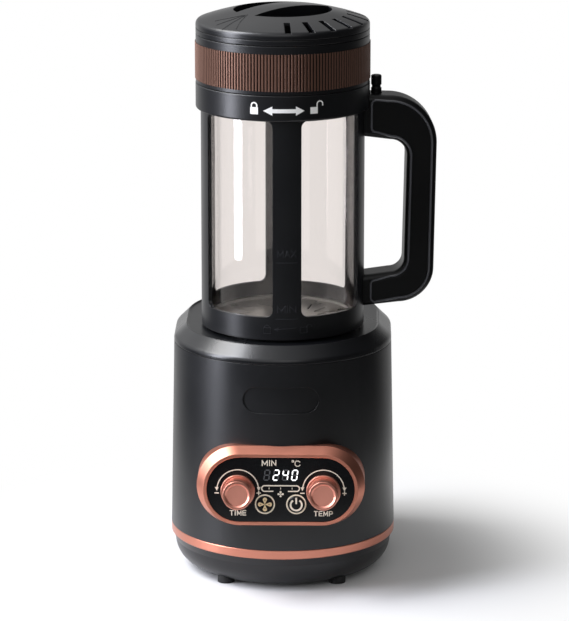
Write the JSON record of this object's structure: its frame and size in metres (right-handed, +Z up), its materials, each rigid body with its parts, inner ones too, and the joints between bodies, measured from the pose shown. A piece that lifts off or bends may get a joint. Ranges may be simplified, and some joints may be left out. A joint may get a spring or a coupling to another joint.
{
  "type": "coffee bean roaster",
  "caption": "Hot-air coffee roaster: round motor base with a rose-gold control pod, lift-off glass jug in a caged frame with a C handle, ribbed twist lid and vented domed cap",
  "frame": {"origin": "on the roaster's upright axis, at the level of the worktop under the feet", "axes": "+Z up along the roaster's axis, -Y towards the control panel, +X towards the handle of the seated jug"},
  "size_m": [0.1882, 0.2175, 0.4053],
  "materials": {
    "black_moulding": "satin",
    "handle_inlay": "soft satin",
    "rose_plate": "satin rose gold",
    "brown_anodised": "ribbed satin brown",
    "gloss_panel": "gloss",
    "jug_glass": "clear",
    "silicone": "matt",
    "foot_rubber": "matt",
    "stainless": "brushed",
    "zinc_screw": "zinc plated",
    "motor_steel": "plated",
    "inner_moulding": "matt",
    "circuit_board": "solder mask",
    "mica": "mica sheet",
    "heating_wire": "heat-tinted"
  },
  "bodies": {
    "base": {"lower_shell": "black_moulding", "intake_grille": "inner_moulding", "grille_screws": "zinc_screw", "rubber_feet": "foot_rubber", "trim_band": "rose_plate", "body_barrel": "black_moulding", "top_cover": "black_moulding", "cord_gland": "black_moulding", "blower_base": "inner_moulding", "blower_screws": "zinc_screw", "blower_cover": "inner_moulding", "motor_can": "motor_steel", "motor_bearing": "motor_steel", "heater_duct": "stainless", "duct_gasket": "silicone", "heater_coil": "heating_wire", "mica_frame": "mica", "thermal_cutout": "motor_steel", "mains_board": "circuit_board", "jug_switch": "inner_moulding", "panel_frame": "rose_plate", "control_panel": "gloss_panel", "button_rings": "rose_plate", "encoder_housings": "motor_steel", "button_switches": "inner_moulding", "display_module": "gloss_panel", "control_board": "circuit_board", "board_spacers": "inner_moulding"},
    "time_dial": {"time_knob": "rose_plate", "time_shaft": "motor_steel"},
    "temp_dial": {"temp_knob": "rose_plate", "temp_shaft": "motor_steel"},
    "fan_key": {"fan_button": "gloss_panel"},
    "power_key": {"power_button": "gloss_panel"},
    "rotor": {"impeller": "inner_moulding", "motor_shaft": "stainless"},
    "jug_lift": {"jug_base_seal": "silicone"},
    "jug": {"jug_foot": "black_moulding", "air_plate": "stainless", "glass_seal_lower": "silicone", "jug_glass": "jug_glass", "glass_seal_upper": "silicone", "jug_cage": "black_moulding", "jug_collar": "black_moulding", "handle_core": "black_moulding", "handle_cheeks": "handle_inlay", "handle_screws": "zinc_screw", "pin_spring": "stainless"},
    "lock_pin": {"interlock_pin": "black_moulding"},
    "lid_lift": {"lid_gasket": "silicone"},
    "lid": {"lid_housing": "black_moulding", "lid_sleeve": "brown_anodised", "lid_rim": "black_moulding", "chaff_chimney": "stainless", "lid_mesh": "stainless"},
    "screen": {"chaff_screen": "stainless"},
    "cap": {"lid_cap": "black_moulding"}
  },
  "joints": [
    {"name": "time_turn", "type": "hinge", "parent": "base", "child": "time_dial", "pos_m": [-0.0298, -0.08622, 0.0776], "axis": [0, -0.9986, 0.0523], "continuous": true},
    {"name": "temp_turn", "type": "hinge", "parent": "base", "child": "temp_dial", "pos_m": [0.0298, -0.08622, 0.0776], "axis": [0, -0.9986, 0.0523], "continuous": true},
    {"name": "fan_press", "type": "slide", "parent": "base", "child": "fan_key", "axis": [0, 0.9986, -0.0523], "range_m": [0, 0.0008], "stiffness_N_per_m": 400, "springref_m": -0.001},
    {"name": "power_press", "type": "slide", "parent": "base", "child": "power_key", "axis": [0, 0.9986, -0.0523], "range_m": [0, 0.0008], "stiffness_N_per_m": 400, "springref_m": -0.001},
    {"name": "blower_spin", "type": "hinge", "parent": "base", "child": "rotor", "pos_m": [0, 0, 0.0748], "axis": [0, 0, 1], "continuous": true},
    {"name": "jug_raise", "type": "slide", "parent": "base", "child": "jug_lift", "axis": [0, 0, 1], "range_m": [0, 0.12]},
    {"name": "jug_lock", "type": "hinge", "parent": "jug_lift", "child": "jug", "pos_m": [0, 0, 0.17], "axis": [0, 0, 1], "range_deg": [0, 18]},
    {"name": "pin_press", "type": "slide", "parent": "jug", "child": "lock_pin", "axis": [0, 0, -1], "range_m": [0, 0.003], "stiffness_N_per_m": 400, "springref_m": -0.002},
    {"name": "lid_raise", "type": "slide", "parent": "jug", "child": "lid_lift", "axis": [0, 0, 1], "range_m": [0, 0.08]},
    {"name": "lid_lock", "type": "hinge", "parent": "lid_lift", "child": "lid", "pos_m": [0, 0, 0.352], "axis": [0, 0, 1], "range_deg": [-30, 0]},
    {"name": "screen_raise", "type": "slide", "parent": "lid", "child": "screen", "axis": [0, 0, 1], "range_m": [0, 0.04]},
    {"name": "cap_lock", "type": "hinge", "parent": "screen", "child": "cap", "pos_m": [0, 0, 0.386], "axis": [0, 0, 1], "range_deg": [-20, 0]}
  ]
}
